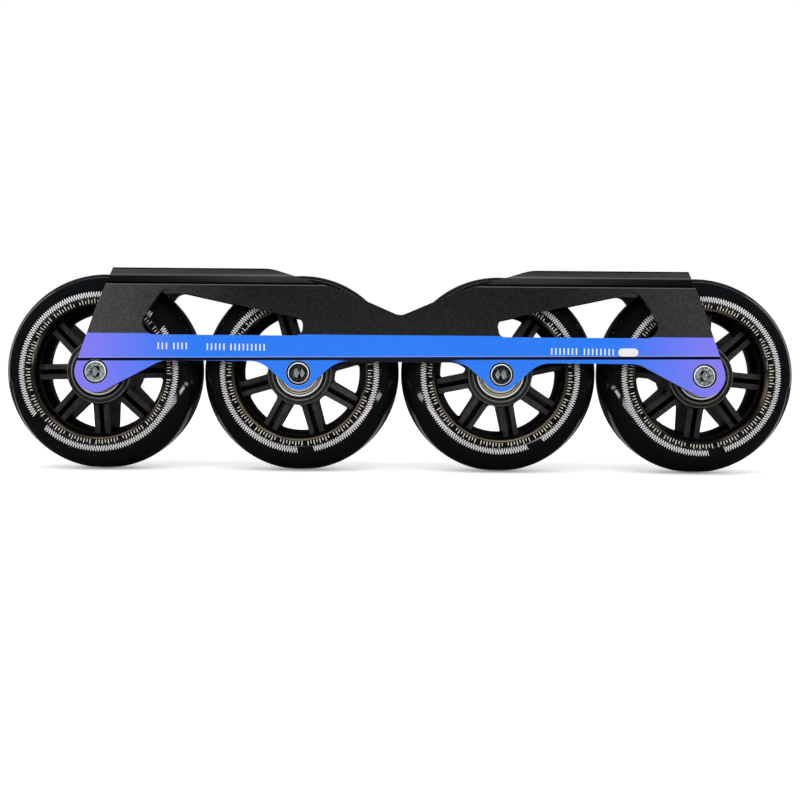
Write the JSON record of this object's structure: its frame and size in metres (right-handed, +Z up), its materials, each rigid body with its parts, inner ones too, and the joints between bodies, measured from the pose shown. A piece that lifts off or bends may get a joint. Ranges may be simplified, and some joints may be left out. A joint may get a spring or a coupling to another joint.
{
  "type": "inline skate frame",
  "caption": "Machined inline skate frame with side windows, spoked wheels in line on one-piece axles and a flat deck for two boot bolts; the wheels spin on shielded ball bearings.",
  "frame": {"origin": "in the flat mounting face, midway between the two boot bolts", "axes": "+X along the frame, +Y across it away from the axle heads, +Z up out of the mounting face"},
  "size_m": [0.363, 0.033, 0.0917],
  "materials": {
    "frame_paint": "painted, satin black above a metallic blue to violet band",
    "tyre_urethane": "glossy",
    "hub_nylon": "satin",
    "bearing_steel": "ground",
    "shield_steel": "pressed",
    "ball_steel": "polished",
    "cage_nylon": "moulded",
    "spacer_aluminium": "turned",
    "axle_steel": "plated"
  },
  "bodies": {
    "frame": {"frame": "frame_paint", "bearing_inner_rings_1": "bearing_steel", "bearing_inner_rings_2": "bearing_steel", "bearing_inner_rings_3": "bearing_steel", "bearing_inner_rings_4": "bearing_steel", "spacer_1": "spacer_aluminium", "spacer_2": "spacer_aluminium", "spacer_3": "spacer_aluminium", "spacer_4": "spacer_aluminium", "axle_1": "axle_steel", "axle_2": "axle_steel", "axle_3": "axle_steel", "axle_4": "axle_steel"},
    "wheel_1": {"tyre_1": "tyre_urethane", "hub_1": "hub_nylon", "bearing_outer_rings_1": "bearing_steel", "bearing_shields_1": "shield_steel"},
    "cage_1": {"bearing_balls_1": "ball_steel", "bearing_cages_1": "cage_nylon"},
    "wheel_2": {"tyre_2": "tyre_urethane", "hub_2": "hub_nylon", "bearing_outer_rings_2": "bearing_steel", "bearing_shields_2": "shield_steel"},
    "cage_2": {"bearing_balls_2": "ball_steel", "bearing_cages_2": "cage_nylon"},
    "wheel_3": {"tyre_3": "tyre_urethane", "hub_3": "hub_nylon", "bearing_outer_rings_3": "bearing_steel", "bearing_shields_3": "shield_steel"},
    "cage_3": {"bearing_balls_3": "ball_steel", "bearing_cages_3": "cage_nylon"},
    "wheel_4": {"tyre_4": "tyre_urethane", "hub_4": "hub_nylon", "bearing_outer_rings_4": "bearing_steel", "bearing_shields_4": "shield_steel"},
    "cage_4": {"bearing_balls_4": "ball_steel", "bearing_cages_4": "cage_nylon"}
  },
  "joints": [
    {"name": "wheel_1_spin", "type": "hinge", "parent": "frame", "child": "wheel_1", "pos_m": [-0.1365, 0, -0.0467], "axis": [0, 1, 0], "continuous": true},
    {"name": "cage_1_spin", "type": "hinge", "parent": "frame", "child": "cage_1", "pos_m": [-0.1365, 0, -0.0467], "axis": [0, 1, 0], "continuous": true},
    {"name": "wheel_2_spin", "type": "hinge", "parent": "frame", "child": "wheel_2", "pos_m": [-0.0455, 0, -0.0467], "axis": [0, 1, 0], "continuous": true},
    {"name": "cage_2_spin", "type": "hinge", "parent": "frame", "child": "cage_2", "pos_m": [-0.0455, 0, -0.0467], "axis": [0, 1, 0], "continuous": true},
    {"name": "wheel_3_spin", "type": "hinge", "parent": "frame", "child": "wheel_3", "pos_m": [0.0455, 0, -0.0467], "axis": [0, 1, 0], "continuous": true},
    {"name": "cage_3_spin", "type": "hinge", "parent": "frame", "child": "cage_3", "pos_m": [0.0455, 0, -0.0467], "axis": [0, 1, 0], "continuous": true},
    {"name": "wheel_4_spin", "type": "hinge", "parent": "frame", "child": "wheel_4", "pos_m": [0.1365, 0, -0.0467], "axis": [0, 1, 0], "continuous": true},
    {"name": "cage_4_spin", "type": "hinge", "parent": "frame", "child": "cage_4", "pos_m": [0.1365, 0, -0.0467], "axis": [0, 1, 0], "continuous": true}
  ],
  "couplings": [
    {"joint": "cage_1_spin", "follows": "wheel_1_spin", "ratio": 0.6323},
    {"joint": "cage_2_spin", "follows": "wheel_2_spin", "ratio": 0.6323},
    {"joint": "cage_3_spin", "follows": "wheel_3_spin", "ratio": 0.6323},
    {"joint": "cage_4_spin", "follows": "wheel_4_spin", "ratio": 0.6323}
  ]
}
